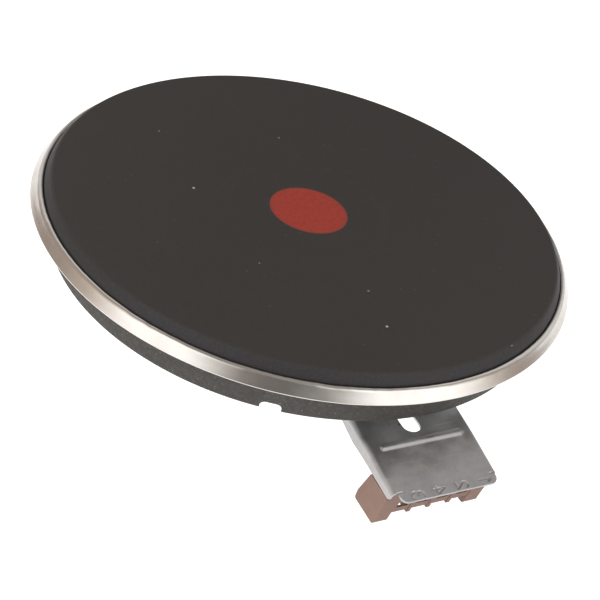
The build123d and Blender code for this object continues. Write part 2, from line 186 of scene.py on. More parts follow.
# %% Make the studio
scene = bpy.context.scene
scene.view_settings.view_transform = "Standard"
STAGE_Z = -0.30
CEILING_RISE = (0.84, 0.95)
CEILING_COLOUR = (0.36, 0.335, 0.315)
SWEEP_RISE = -0.2
SWEEP_COLOUR = (1.0, 1.0, 1.0)
SOFTBOX_DISTANCE = 1.1
# Compass direction in degrees, from -Y towards +X, and the colour of the wall there.
WORLD_STOPS = (
    (-180, (0.78, 0.77, 0.76)), (-172, (0.74, 0.73, 0.72)), (-162, (0.42, 0.35, 0.31)),
    (-130, (0.44, 0.37, 0.32)), (-116, (0.64, 0.55, 0.47)), (-102, (1.2, 1.15, 1.1)),
    (-94, (1.5, 1.5, 1.48)), (-68, (1.5, 1.5, 1.48)), (-56, (0.75, 0.72, 0.69)),
    (-46, (0.28, 0.26, 0.25)), (-28, (0.17, 0.16, 0.155)), (-14, (0.30, 0.29, 0.28)),
    (-2, (0.9, 0.88, 0.86)), (10, (1.5, 1.5, 1.48)), (42, (1.5, 1.48, 1.45)),
    (54, (0.85, 0.80, 0.75)), (64, (0.48, 0.42, 0.37)), (74, (0.42, 0.36, 0.32)),
    (82, (0.62, 0.60, 0.58)), (100, (0.80, 0.79, 0.78)), (114, (0.70, 0.69, 0.68)),
    (124, (0.26, 0.25, 0.25)), (140, (0.16, 0.15, 0.15)), (160, (0.30, 0.29, 0.28)),
    (172, (0.74, 0.73, 0.72)),
)


def make_world():
    """A round room whose walls are bright panels and darker gaps, under a grey ceiling."""
    world = bpy.data.worlds.new("studio")
    world.use_nodes = True
    tree = world.node_tree
    tree.nodes.clear()
    place = put(tree, "TexCoord").outputs["Generated"]
    split = put(tree, "SeparateXYZ", [(0, place)]).outputs
    back = math_node(tree, "MULTIPLY", split["Y"], -1.0)
    turn = put(tree, "MapRange", [("Value", math_node(tree, "ARCTAN2", split["X"], back))])
    turn.inputs["From Min"].default_value = -math.pi
    turn.inputs["From Max"].default_value = math.pi
    walls = put(tree, "ValToRGB", [("Fac", turn.outputs["Result"])])
    stops = walls.color_ramp.elements
    for stop, position in zip(stops, (0.0, 1.0)):
        stop.position, stop.color = position, (*WORLD_STOPS[0][1], 1)
    for degrees, colour in WORLD_STOPS[1:]:
        stops.new((degrees + 180) / 360).color = (*colour, 1)
    above = spread(tree, split["Z"], *CEILING_RISE)
    room = blend_colours(tree, above, walls.outputs["Color"], CEILING_COLOUR)
    below = math_node(tree, "LESS_THAN", split["Z"], SWEEP_RISE)
    shine = put(tree, "Background", [("Color", blend_colours(tree, below, room, SWEEP_COLOUR))])
    put(tree, "OutputWorld", [("Surface", shine.outputs[0])])
    scene.world = world


def make_softbox(name, azimuth, elevation, size, power):
    """An area light on a sphere round the plate, facing it."""
    data = bpy.data.lights.new(name, "AREA")
    data.shape = "RECTANGLE"
    data.size, data.size_y = size
    data.energy = power
    lamp = bpy.data.objects.new(name, data)
    bpy.context.scene.collection.objects.link(lamp)
    a, e = math.radians(azimuth), math.radians(elevation)
    way = Vector((math.sin(a) * math.cos(e), -math.cos(a) * math.cos(e), math.sin(e)))
    lamp.location = way * SOFTBOX_DISTANCE
    lamp.rotation_euler = way.to_track_quat("Z", "Y").to_euler()
    lamp.visible_glossy = False


def make_floor():
    """A pale sweep that is clear from below, so that the underside can be looked at too."""
    bm = bmesh.new()
    bmesh.ops.create_grid(bm, x_segments=8, y_segments=8, size=4.0)
    bmesh.ops.translate(bm, verts=bm.verts, vec=(0, 0, STAGE_Z))
    mesh = bpy.data.meshes.new("floor")
    bm.to_mesh(mesh)
    bm.free()
    floor = bpy.data.objects.new("floor", mesh)
    bpy.context.scene.collection.objects.link(floor)
    paint = bpy.data.materials.new("studio_floor")
    paint.use_nodes = True
    shader = paint.node_tree.nodes["Principled BSDF"]
    shader.inputs["Base Color"].default_value = (0.9, 0.9, 0.9, 1)
    shader.inputs["Roughness"].default_value = 0.9
    shader.inputs["Emission Color"].default_value = (1, 1, 1, 1)
    shader.inputs["Emission Strength"].default_value = 0.42
    tree = paint.node_tree
    behind = put(tree, "NewGeometry").outputs["Backfacing"]
    clear = put(tree, "BsdfTransparent").outputs[0]
    mix = put(tree, "MixShader", [(0, behind), (1, shader.outputs[0]), (2, clear)])
    tree.links.new(mix.outputs[0], tree.nodes["Material Output"].inputs["Surface"])
    mesh.materials.append(paint)


make_world()
make_softbox("softbox_front", -38, 62, (0.9, 0.35), 4.5)
make_softbox("softbox_left", -100, 48, (0.35, 0.6), 5.0)
make_softbox("softbox_right", 60, 50, (0.5, 0.5), 2.0)
make_floor()

# %% [markdown]
# ## Helpers for pieces
#
# Every piece goes through the same last steps: the bmesh becomes a mesh, its flat and round
# faces are told apart by angle, and the piece is hung on the CAD body that carries it. Two
# ways of making are shared as well. Round parts are spun from an outline, as on a lathe, and
# holes are taken out by a Boolean, whose edges stay sharp on a finely divided part.

# %% Helpers for pieces
MERGE_DISTANCE = 2e-6


def add_mesh(name, bm, materials, smooth_angle=32.0):
    mesh = bpy.data.meshes.new(name)
    bm.to_mesh(mesh)
    bm.free()
    for material in materials:
        mesh.materials.append(material)
    mesh.shade_smooth()
    mesh.set_sharp_from_angle(angle=math.radians(smooth_angle))
    piece = bpy.data.objects.new(name, mesh)
    bpy.context.scene.collection.objects.link(piece)
    return piece


def settle(piece, body, node):
    """Hangs a piece on its body and lets it stand for its CAD node."""
    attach(piece, body)
    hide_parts(node)
    print(f"{piece.name}: {len(piece.data.polygons)} faces on {body}")


def apply_modifiers(piece):
    """Bakes a piece's modifiers into its mesh."""
    graph = bpy.context.evaluated_depsgraph_get()
    mesh = bpy.data.meshes.new_from_object(piece.evaluated_get(graph))
    piece.modifiers.clear()
    old, piece.data = piece.data, mesh
    bpy.data.meshes.remove(old)


def round_off(bm, geom, radius, segments, affect):
    """Rounds vertices or edges by a radius in millimetres."""
    bmesh.ops.bevel(
        bm, geom=geom, offset=radius * MM, offset_type="OFFSET", segments=segments,
        profile=0.5, affect=affect, clamp_overlap=True, material=-1,
    )


def cut_away(piece, bm, material):
    """Takes a closed bmesh out of a piece with a Boolean."""
    cutter = add_mesh("cutter", bm, [material])
    cut = piece.modifiers.new("cut", "BOOLEAN")
    cut.object = cutter
    cut.operation = "DIFFERENCE"
    cut.solver = "EXACT"
    apply_modifiers(piece)
    bpy.data.objects.remove(cutter)


def close_up(bm):
    """Merges doubles at seams and poles, and turns every face outwards."""
    bmesh.ops.remove_doubles(bm, verts=bm.verts, dist=MERGE_DISTANCE)
    bmesh.ops.recalc_face_normals(bm, faces=bm.faces)


def lathe(outline, steps, corner_segments=5):
    """Turns (radius, height, corner radius) points a full circle about the Z axis."""
    bm = bmesh.new()
    verts = [bm.verts.new((r * MM, 0, z * MM)) for r, z, _ in outline]
    for first, last in zip(verts, verts[1:]):
        bm.edges.new((first, last))
    for vert, (_, _, radius) in zip(verts, outline):
        if radius:
            round_off(bm, [vert], radius, corner_segments, "VERTICES")
    bmesh.ops.spin(
        bm, geom=bm.verts[:] + bm.edges[:], cent=(0, 0, 0), axis=(0, 0, 1),
        angle=math.tau, steps=steps, use_merge=True,
    )
    close_up(bm)
    return bm


print("helpers ready")

# %% [markdown]
# ## Shader groups
#
# Effects that several finishes share are built once as node groups. Each puts out only a
# mask or a height that changes over the surface, and the finish decides what to do with it.

# %% Helpers for groups
def new_group(name, inputs, outputs):
    group = bpy.data.node_groups.new(name, "ShaderNodeTree")
    group.interface.new_socket("Place", in_out="INPUT", socket_type="NodeSocketVector")
    for socket, default in inputs:
        made = group.interface.new_socket(socket, in_out="INPUT", socket_type="NodeSocketFloat")
        made.default_value = default
    for socket in outputs:
        group.interface.new_socket(socket, in_out="OUTPUT", socket_type="NodeSocketFloat")
    return group, group.nodes.new("NodeGroupInput"), group.nodes.new("NodeGroupOutput")


def noise_at(tree, place, scale, detail=3.0, roughness=0.55):
    """Noise with features of about 1 / scale metres. Scale may be a number or a socket."""
    node = put(tree, "TexNoise", [("Vector", place)], Detail=detail, Roughness=roughness)
    if isinstance(scale, (int, float)):
        node.inputs["Scale"].default_value = scale
    else:
        tree.links.new(scale, node.inputs["Scale"])
    return node.outputs["Fac"]


print("group helpers ready")

# %% [markdown]
# The first two groups are grainy. Dust and bright grains are cells of a Voronoi texture,
# of which only a small share is shown. The pebbles of a casting are the same cells seen as
# heights, with softer noise under them, because sand grains leave dents of several sizes.

# %% Specks and cast skin
def make_specks():
    """Sparse small specks, such as dust or bright grains."""
    tree, start, end = new_group("specks", [("Scale", 900.0), ("Share", 0.02)], ["Mask"])
    cells = put(tree, "TexVoronoi", [("Vector", start.outputs["Place"])], feature="F1")
    tree.links.new(start.outputs["Scale"], cells.inputs["Scale"])
    grey = put(tree, "SeparateColor", [("Color", cells.outputs["Color"])])
    chosen = math_node(tree, "LESS_THAN", grey.outputs["Red"], start.outputs["Share"])
    near = spread(tree, cells.outputs["Distance"], 0.16, 0.34, 1.0, 0.0)
    tree.links.new(math_node(tree, "MULTIPLY", chosen, near), end.inputs["Mask"])
    return tree


def make_cast_skin():
    """The pebbly skin that sand leaves on a casting."""
    tree, start, end = new_group("cast_skin", [("Scale", 900.0)], ["Height", "Mottle"])
    place = start.outputs["Place"]
    grains = put(tree, "TexVoronoi", [("Vector", place)], feature="SMOOTH_F1")
    tree.links.new(start.outputs["Scale"], grains.inputs["Scale"])
    coarse = math_node(tree, "MULTIPLY", start.outputs["Scale"], 0.28)
    lumps = noise_at(tree, place, coarse, 5.0, 0.65)
    pebbles = math_node(tree, "MULTIPLY", grains.outputs["Distance"], 0.6)
    tree.links.new(math_node(tree, "ADD", pebbles, lumps), end.inputs["Height"])
    tree.links.new(spread(tree, lumps, 0.35, 0.68), end.inputs["Mottle"])
    return tree


specks = make_specks()
cast_skin = make_cast_skin()
print("groups:", specks.name, cast_skin.name)

# %% [markdown]
# A lathe tool or a rolling die leaves fine circles. Noise read at the distance from the axis
# gives circles of uneven depth, which look more real than the even waves of a Wave texture.

# %% Turned rings
def make_turned_rings():
    """Fine circles about the Z axis, as a lathe tool or a rolling die leaves them."""
    inputs = [("Per Metre", 1500.0), ("Wander", 0.15)]
    tree, start, end = new_group("turned_rings", inputs, ["Height"])
    split = put(tree, "SeparateXYZ", [("Vector", start.outputs["Place"])])
    across = math_node(tree, "POWER", split.outputs["X"], 2.0)
    along = math_node(tree, "POWER", split.outputs["Y"], 2.0)
    radius = math_node(tree, "SQRT", math_node(tree, "ADD", across, along))
    slow = put(tree, "VectorMath", [(0, start.outputs["Place"])], operation="SCALE")
    tree.links.new(start.outputs["Wander"], slow.inputs["Scale"])
    offset = put(tree, "CombineXYZ", [("Y", radius), ("Z", split.outputs["Z"])])
    both = [(0, offset.outputs[0]), (1, slow.outputs[0])]
    joined = put(tree, "VectorMath", both, operation="ADD").outputs[0]
    rings = noise_at(tree, joined, start.outputs["Per Metre"], 3.0, 0.7)
    tree.links.new(rings, end.inputs["Height"])
    return tree


turned_rings = make_turned_rings()
print("group:", turned_rings.name)

# %% [markdown]
# Zinc cools into flat crystals, each of which shines a little differently. They are Voronoi
# cells, pushed about by noise so that their borders aren't straight. Scratches are noise that
# is stretched until only long thin strokes are left.

# %% Zinc crystals and scratches
def make_spangle():
    """Patches of zinc crystal with slightly different brightness."""
    tree, start, end = new_group("spangle", [("Scale", 220.0)], ["Patch", "Cloud"])
    place = start.outputs["Place"]
    warp = put(tree, "TexNoise", [("Vector", place)], Scale=180.0, Detail=2.0)
    moved = put(tree, "VectorMath", [(0, warp.outputs["Color"])], operation="SCALE", Scale=0.004)
    there = put(tree, "VectorMath", [(0, place), (1, moved.outputs[0])], operation="ADD")
    cells = put(tree, "TexVoronoi", [("Vector", there.outputs[0])], feature="F1")
    tree.links.new(start.outputs["Scale"], cells.inputs["Scale"])
    grey = put(tree, "SeparateColor", [("Color", cells.outputs["Color"])])
    tree.links.new(grey.outputs["Red"], end.inputs["Patch"])
    coarse = math_node(tree, "MULTIPLY", start.outputs["Scale"], 0.35)
    cloud = noise_at(tree, place, coarse, 6.0, 0.7)
    tree.links.new(spread(tree, cloud, 0.3, 0.7), end.inputs["Cloud"])
    return tree


def make_scratches():
    """Short thin scratches that run mostly one way."""
    tree, start, end = new_group("scratches", [("Scale", 60.0)], ["Mask"])
    lanes = put(tree, "Mapping", [("Vector", start.outputs["Place"])])
    lanes.inputs["Rotation"].default_value = (0.2, 0.3, 0.9)
    lanes.inputs["Scale"].default_value = (1.0, 26.0, 26.0)
    lines = noise_at(tree, lanes.outputs[0], start.outputs["Scale"], 2.0, 0.5)
    tree.links.new(spread(tree, lines, 0.66, 0.72), end.inputs["Mask"])
    return tree


spangle = make_spangle()
scratches = make_scratches()
print("groups:", [group.name for group in bpy.data.node_groups])

# %% [markdown]
# ## Finishes
#
# Each finish is one function. It starts from a Principled shader whose plain numbers sit on
# the shader itself, and only the things that vary over the surface are linked in.

# %% A finish's first steps
def new_finish(name, roughness, metallic=0.0, **plain):
    material = bpy.data.materials.new(name)
    material.use_nodes = True
    tree = material.node_tree
    shader = tree.nodes["Principled BSDF"]
    shader.inputs["Roughness"].default_value = roughness
    shader.inputs["Metallic"].default_value = metallic
    for key, value in plain.items():
        shader.inputs[key.replace("_", " ")].default_value = value
    place = tree.nodes.new("ShaderNodeTexCoord").outputs["Object"]
    return material, tree, shader, place


def use_group(tree, group, place, **values):
    node = tree.nodes.new("ShaderNodeGroup")
    node.node_tree = group
    tree.links.new(place, node.inputs["Place"])
    for key, value in values.items():
        node.inputs[key.replace("_", " ")].default_value = value
    return node.outputs


def bump(tree, shader, height, depth, strength=1.0):
    """Height in metres onto the shader's normal."""
    node = put(tree, "Bump", [("Height", height)], Strength=strength, Distance=depth)
    tree.links.new(node.outputs["Normal"], shader.inputs["Normal"])


print("finish helpers ready")

# %% [markdown]
# One casting shows three surfaces. Its top is turned and blackened with a baked coating,
# the bevel round it keeps the marks of the tool, and the skirt is raw iron from the sand
# mould. Three materials on one mesh show that better than one material with masks, because
# the borders between them are sharp edges of the shape.

# %% Blackened top and raw casting
def make_blackened_top():
    """The cooking surface: turned flat, blackened and rubbed with oil, nearly matte."""
    material, tree, shader, place = new_finish("blackened_top", 0.5, Specular_IOR_Level=0.32)
    cloud = spread(tree, noise_at(tree, place, 9.0, 3.0), 0.3, 0.7)
    grain = spread(tree, noise_at(tree, place, 1400.0, 2.0), 0.3, 0.7)
    dust = use_group(tree, specks, place, Scale=420.0, Share=0.0035)["Mask"]
    fine = use_group(tree, specks, place, Scale=520.0, Share=0.012)["Mask"]
    base = blend_colours(tree, cloud, (0.0245, 0.0195, 0.0180), (0.0225, 0.0205, 0.0190))
    base = blend_colours(tree, grain, base, (0.0265, 0.0235, 0.0220))
    base = blend_colours(tree, math_node(tree, "MULTIPLY", fine, 0.35), base, (0.08, 0.075, 0.07))
    base = blend_colours(tree, dust, base, (0.30, 0.28, 0.27))
    tree.links.new(base, shader.inputs["Base Color"])
    rings = use_group(tree, turned_rings, place, Per_Metre=1300.0, Wander=0.05)["Height"]
    tree.links.new(spread(tree, cloud, 0.0, 1.0, 0.50, 0.56), shader.inputs["Roughness"])
    marks = math_node(tree, "MULTIPLY", rings, 0.5)
    bump(tree, shader, math_node(tree, "ADD", marks, grain), 0.00001)
    return material


def make_turned_edge():
    """The bevel round the cooking surface, greyer and with the tool's marks."""
    material, tree, shader, place = new_finish("turned_edge", 0.55, Specular_IOR_Level=0.30)
    grain = spread(tree, noise_at(tree, place, 900.0, 4.0), 0.3, 0.7)
    bright = use_group(tree, specks, place, Scale=420.0, Share=0.014)["Mask"]
    base = blend_colours(tree, grain, (0.021, 0.0195, 0.0200), (0.027, 0.0255, 0.0262))
    base = blend_colours(tree, bright, base, (0.22, 0.22, 0.22))
    tree.links.new(base, shader.inputs["Base Color"])
    rings = use_group(tree, turned_rings, place, Per_Metre=3000.0, Wander=0.02)["Height"]
    bump(tree, shader, math_node(tree, "ADD", rings, grain), 0.00003)
    return material


def make_raw_casting():
    """Skirt and underside: sand-cast skin, grey, with bright grains."""
    material, tree, shader, place = new_finish("raw_casting", 0.7, 0.1, Specular_IOR_Level=0.35)
    skin = use_group(tree, cast_skin, place, Scale=2200.0)
    grains = use_group(tree, specks, place, Scale=1300.0, Share=0.10)["Mask"]
    base = blend_colours(tree, skin["Mottle"], (0.058, 0.054, 0.050), (0.072, 0.068, 0.064))
    base = blend_colours(tree, math_node(tree, "MULTIPLY", grains, 0.6), base, (0.30, 0.29, 0.28))
    tree.links.new(base, shader.inputs["Base Color"])
    tree.links.new(spread(tree, skin["Mottle"], 0.0, 1.0, 0.74, 0.64), shader.inputs["Roughness"])
    bump(tree, shader, skin["Height"], 0.00016, 0.8)
    return material


blackened_top = make_blackened_top()
turned_edge = make_turned_edge()
raw_casting = make_raw_casting()
print("made", blackened_top.name, turned_edge.name, raw_casting.name)

# %% [markdown]
# The dot is enamel that is fired into the recess. Its colour is nearly even, so only a faint
# mottle and a darker rim, where the enamel is thin, keep it from looking like a sticker.

# %% Red enamel
ENAMEL_RIM = 1.6 * MM


def make_red_enamel():
    """Fired red enamel, matte, with a faint mottle and a darker rim."""
    material, tree, shader, place = new_finish("red_enamel", 0.55, Specular_IOR_Level=0.35)
    mottle = spread(tree, noise_at(tree, place, 700.0, 4.0), 0.3, 0.7)
    base = blend_colours(tree, mottle, (0.197, 0.022, 0.013), (0.226, 0.028, 0.018))
    flat = put(tree, "Mapping", [("Vector", place)], Scale=(1, 1, 0))
    radius = put(tree, "VectorMath", [(0, flat.outputs[0])], operation="LENGTH")
    edge = spread(tree, radius.outputs["Value"], dot_high.x - ENAMEL_RIM, dot_high.x)
    base = blend_colours(tree, edge, base, (0.15, 0.028, 0.020))
    tree.links.new(base, shader.inputs["Base Color"])
    bump(tree, shader, mottle, 0.00003)
    return material


red_enamel = make_red_enamel()
print("made", red_enamel.name)

# %% [markdown]
# The spill ring is stainless steel. What one sees of such metal is mostly the room, so its
# own colour is simple, and the roughness changes slowly to break up the reflections.

# %% Polished ring steel
def make_ring_steel():
    """Rolled stainless steel: polished, with fine lines that run round the ring."""
    material, tree, shader, place = new_finish("ring_steel", 0.2, 1.0)
    rings = use_group(tree, turned_rings, place, Per_Metre=4200.0, Wander=0.01)["Height"]
    cloud = spread(tree, noise_at(tree, place, 60.0, 4.0), 0.3, 0.7)
    smear = spread(tree, noise_at(tree, place, 14.0, 3.0), 0.35, 0.65)
    base = blend_colours(tree, cloud, (0.66, 0.625, 0.59), (0.74, 0.715, 0.685))
    tree.links.new(base, shader.inputs["Base Color"])
    tree.links.new(spread(tree, smear, 0.0, 1.0, 0.14, 0.24), shader.inputs["Roughness"])
    bump(tree, shader, rings, 0.0000025)
    return material


ring_steel = make_ring_steel()
print("made", ring_steel.name)

# %% [markdown]
# The bracket, the bottom cover and the small steel parts are all coated with zinc. Hot dipped
# sheet has large crystals, and plated screws have tiny ones, so one function makes all three
# with a different scale and brightness.

# %% Galvanised sheet and plated steel
def make_galvanised(name, light, dark, scale, scratch):
    """Zinc on steel: dull grey with crystal patches, clouds, dark flecks and scratches."""
    material, tree, shader, place = new_finish(name, 0.42, 0.85)
    zinc = use_group(tree, spangle, place, Scale=scale)
    fleck = use_group(tree, specks, place, Scale=420.0, Share=0.018)["Mask"]
    lines = use_group(tree, scratches, place, Scale=70.0)["Mask"]
    base = blend_colours(tree, zinc["Cloud"], dark, light)
    base = blend_colours(tree, math_node(tree, "MULTIPLY", zinc["Patch"], 0.25), base, light)
    bared = math_node(tree, "MULTIPLY", lines, scratch)
    base = blend_colours(tree, bared, base, (0.75, 0.75, 0.76))
    base = blend_colours(tree, math_node(tree, "MULTIPLY", fleck, 0.7), base, (0.09, 0.085, 0.08))
    tree.links.new(base, shader.inputs["Base Color"])
    tree.links.new(spread(tree, zinc["Cloud"], 0.0, 1.0, 0.34, 0.52), shader.inputs["Roughness"])
    bump(tree, shader, math_node(tree, "ADD", zinc["Cloud"], lines), 0.00003)
    return material


galvanised = make_galvanised("galvanised", (0.49, 0.485, 0.485), (0.33, 0.325, 0.325), 210.0, 0.25)
zinc_sheet = make_galvanised("zinc_sheet", (0.52, 0.53, 0.54), (0.38, 0.39, 0.40), 130.0, 0.15)
zinc_steel = make_galvanised("zinc_steel", (0.66, 0.66, 0.65), (0.52, 0.52, 0.51), 600.0, 0.4)
print("made", galvanised.name, zinc_sheet.name, zinc_steel.name)

# %% [markdown]
# The insulating parts are dry and matte. The terminal block is brown ceramic, the sleeves and
# the cut-out's base are white, and the compound round the coils is pressed magnesia. These
# share a sandy skin. The pad is different, because its fibres show.

# %% Ceramics, magnesia and fibre
def make_ceramic(name, light, dark, spot, roughness=0.7):
    """Pressed and fired ceramic with a dry, slightly sandy skin."""
    material, tree, shader, place = new_finish(name, roughness, Specular_IOR_Level=0.35)
    skin = use_group(tree, cast_skin, place, Scale=1500.0)
    cloud = spread(tree, noise_at(tree, place, 160.0, 4.0), 0.3, 0.7)
    dots = use_group(tree, specks, place, Scale=700.0, Share=0.05)["Mask"]
    base = blend_colours(tree, cloud, dark, light)
    base = blend_colours(tree, math_node(tree, "MULTIPLY", dots, 0.45), base, spot)
    tree.links.new(base, shader.inputs["Base Color"])
    dryness = spread(tree, cloud, 0.0, 1.0, roughness - 0.06, roughness + 0.06)
    tree.links.new(dryness, shader.inputs["Roughness"])
    bump(tree, shader, skin["Height"], 0.00006, 0.7)
    return material


def make_fibre():
    """Pressed ceramic fibre, with its fibres showing as short strokes."""
    material, tree, shader, place = new_finish("fibre_pad", 0.95, Specular_IOR_Level=0.1)
    lines = use_group(tree, scratches, place, Scale=160.0)["Mask"]
    fluff = spread(tree, noise_at(tree, place, 400.0, 6.0, 0.7), 0.3, 0.7)
    base = blend_colours(tree, fluff, (0.62, 0.60, 0.55), (0.78, 0.77, 0.73))
    base = blend_colours(tree, lines, base, (0.88, 0.87, 0.84))
    tree.links.new(base, shader.inputs["Base Color"])
    bump(tree, shader, math_node(tree, "ADD", fluff, lines), 0.0002)
    return material


ceramic = make_ceramic(
    "ceramic", (0.236, 0.148, 0.118), (0.200, 0.124, 0.098), (0.13, 0.08, 0.065)
)
white_ceramic = make_ceramic(
    "white_ceramic", (0.80, 0.78, 0.73), (0.72, 0.70, 0.65), (0.55, 0.52, 0.47)
)
magnesia = make_ceramic(
    "magnesia", (0.76, 0.74, 0.68), (0.64, 0.61, 0.55), (0.45, 0.42, 0.36), 0.85
)
fibre_pad = make_fibre()
print("made", ceramic.name, white_ceramic.name, magnesia.name, fibre_pad.name)

# %% [markdown]
# The leads, contacts and coils are bare metal parts a few millimetres across. At that
# size a patch of tarnish and a few handling marks are all the detail that can be seen.

# %% Wires and contacts
def make_bright_metal(name, light, dark, roughness):
    """Small drawn or punched metal parts, with a little tarnish and handling marks."""
    material, tree, shader, place = new_finish(name, roughness, 1.0)
    tarnish = spread(tree, noise_at(tree, place, 260.0, 5.0, 0.6), 0.35, 0.7)
    lines = use_group(tree, scratches, place, Scale=220.0)["Mask"]
    base = blend_colours(tree, tarnish, light, dark)
    tree.links.new(base, shader.inputs["Base Color"])
    dulled = spread(tree, tarnish, 0.0, 1.0, roughness, roughness + 0.18)
    tree.links.new(dulled, shader.inputs["Roughness"])
    bump(tree, shader, lines, 0.00001)
    return material


nickel_wire = make_bright_metal("nickel_wire", (0.66, 0.63, 0.58), (0.50, 0.46, 0.41), 0.28)
nickel_brass = make_bright_metal("nickel_brass", (0.80, 0.78, 0.73), (0.62, 0.56, 0.46), 0.24)
spring_bronze = make_bright_metal("spring_bronze", (0.66, 0.44, 0.22), (0.42, 0.25, 0.13), 0.30)
coil_wire = make_bright_metal("coil_wire", (0.30, 0.27, 0.25), (0.16, 0.14, 0.13), 0.50)
FINISHES = {
    "cast_iron": raw_casting,
    "red_enamel": red_enamel,
    "steel_ring": ring_steel,
    "magnesia": magnesia,
    "fibre_pad": fibre_pad,
    "ceramic": ceramic,
    "white_ceramic": white_ceramic,
    "zinc_sheet": zinc_sheet,
    "galvanised": galvanised,
    "zinc_steel": zinc_steel,
    "nickel_wire": nickel_wire,
    "nickel_brass": nickel_brass,
    "spring_bronze": spring_bronze,
    "coil_wire": coil_wire,
}
print("finishes:", len(FINISHES))

# %% [markdown]
# ## Finishes for the CAD nodes
#
# The record says which slot each CAD node takes its finish from, so one loop can dress them
# all. The nodes that a finer piece replaces later are dressed too, which does no harm.

# %% Dress the CAD nodes
def dress_nodes():
    slots = {part["node"]: part["material_slot"] for part in frame["record"]["subparts"]}
    for name, node in frame["nodes"].items():
        node.data.materials.clear()
        node.data.materials.append(FINISHES[slots[name]])
    return len(slots)


print("dressed nodes:", dress_nodes())

# %% [markdown]
# ## The plate
#
# The real plate is one iron casting whose top is turned flat on a lathe. A lathe shape is
# best made the same way here: its half outline is drawn once as a chain of edges, the corners
# are rounded, and the chain is spun about the axis. The notch in the skirt is the only part
# that isn't round, so a Boolean with a rounded cutter takes it out at the end.

# %% Spin the casting
WEB_Z = 4.7
RIB_Z = -3.3
GROOVES = ((54.8, 63.8), (69.0, 78.0), (84.0, 93.0))
BOSS_R = 8.5
BOSS_Z = -14.2
RECESS_FLOOR_R, RECESS_EDGE_R = 31.2, 34.6
TURNED_R, TURNED_DEPTH = 107.0, 1.3
RING_GROOVE_LOW, RING_GROOVE_HIGH, RING_GROOVE_DEPTH = 1.3, 2.5, 0.8
NOTCH_DIRECTION, NOTCH_R = math.radians(-124.8), 102.3
NOTCH_WIDTH, NOTCH_DEPTH, NOTCH_CORNER = 8.6, 3.9, 2.3


def plate_outline():
    """(radius, height, corner radius) down the casting's half section, in millimetres."""
    top, floor, dot = TOP_Z / MM, FLOOR_Z / MM, dot_low.z / MM
    edge, skirt = EDGE_R / MM, SKIRT_Z / MM
    dot_r = dot_high.x / MM
    groove = edge - RING_GROOVE_DEPTH
    outside = [
        (0, dot, 0), (dot_r, dot, 0), (dot_r, floor, 0.05),
        (RECESS_FLOOR_R, floor, 1.4), (RECESS_EDGE_R, top, 1.4),
        (TURNED_R, top, 0.9), (edge - 0.3, 6.3, 0.9), (edge, 5.2, 0.8),
        (edge, RING_GROOVE_HIGH, 0), (groove, RING_GROOVE_HIGH, 0),
        (groove, RING_GROOVE_LOW, 0), (edge, RING_GROOVE_LOW, 0),
        (edge, 0.6, 0.3), (106.8, -0.6, 0.6), (104.85, skirt + 0.7, 0.3),
        (104.3, skirt, 0.5), (101.0, skirt, 0.5),
        (101.4, 3.5, 1.2), (97.5, 3.5, 1.2), (97.5, RIB_Z, 0.5),
    ]
    inside = []
    for inner, outer in reversed(GROOVES):
        inside += [(outer, RIB_Z, 0.4), (outer, WEB_Z, 0.5)]
        inside += [(inner, WEB_Z, 0.5), (inner, RIB_Z, 0.4)]
    centre = [
        (50.0, RIB_Z, 0.5), (50.0, WEB_Z, 1.5), (BOSS_R, WEB_Z, 1.5), (BOSS_R, BOSS_Z, 0.4),
        (4.0, BOSS_Z, 0), (4.0, 1.0, 0), (0, 1.0, 0),
    ]
    return outside + inside + centre


def notch_cutter():
    """A bar with rounded long edges, standing across the skirt at the notch."""
    bm = bmesh.new()
    bmesh.ops.create_cube(bm, size=1.0)
    size = Vector((12.0, NOTCH_WIDTH, 2 * NOTCH_DEPTH)) * MM
    bmesh.ops.scale(bm, verts=bm.verts, vec=size)
    long_edges = [e for e in bm.edges if abs((e.verts[0].co - e.verts[1].co).x) > 5 * MM]
    round_off(bm, long_edges, NOTCH_CORNER, 6, "EDGES")
    turn = Matrix.Rotation(NOTCH_DIRECTION, 4, "Z")
    place = turn @ Matrix.Translation((NOTCH_R * MM, 0, SKIRT_Z))
    bmesh.ops.transform(bm, verts=bm.verts, matrix=place)
    return bm


def zone_of(face):
    """0 for the cooking surface, 1 for the bevel round it, 2 for the raw casting."""
    centre = face.calc_center_median()
    radius = math.hypot(centre.x, centre.y) / MM
    if centre.z > TOP_Z - TURNED_DEPTH * MM and radius < TURNED_R + 0.1:
        return 0
    return 1 if centre.z > (RING_GROOVE_HIGH + 0.1) * MM and radius > TURNED_R - 1 else 2


bm = lathe(plate_outline(), 288)
for face in bm.faces:
    face.material_index = zone_of(face)
plate = add_mesh("plate_casting", bm, [blackened_top, turned_edge, raw_casting], 40.0)
cut_away(plate, notch_cutter(), raw_casting)
settle(plate, "plate", "plate_body")

# %% [markdown]
# ## The spill ring
#
# The ring is a strip of thin stainless steel, rolled to a hook section and pressed on the
# plate's edge. The middle line of the sheet is spun like the plate, and a Solidify modifier
# gives it its thickness, as the gauge of a sheet does. Rolling leaves small ripples along the
# inner lip, and they matter, because a mirror-like surface shows the smallest wave. They come
# from noise that is read round a circle, so they join up.

# %% Spin and ripple the ring
RING_T = 0.5
RING_GAP = 0.45
CROWN = (112.45, 2.95)
HEM_R = 112.9
RIPPLE_FOOT, RIPPLE_RISE = 2.6, 2.0
SLOW_WAVES, SLOW_RIPPLE = 16.0, 0.12
QUICK_WAVES, QUICK_RIPPLE, SIDE_RIPPLE = 42.0, 0.09, 0.05


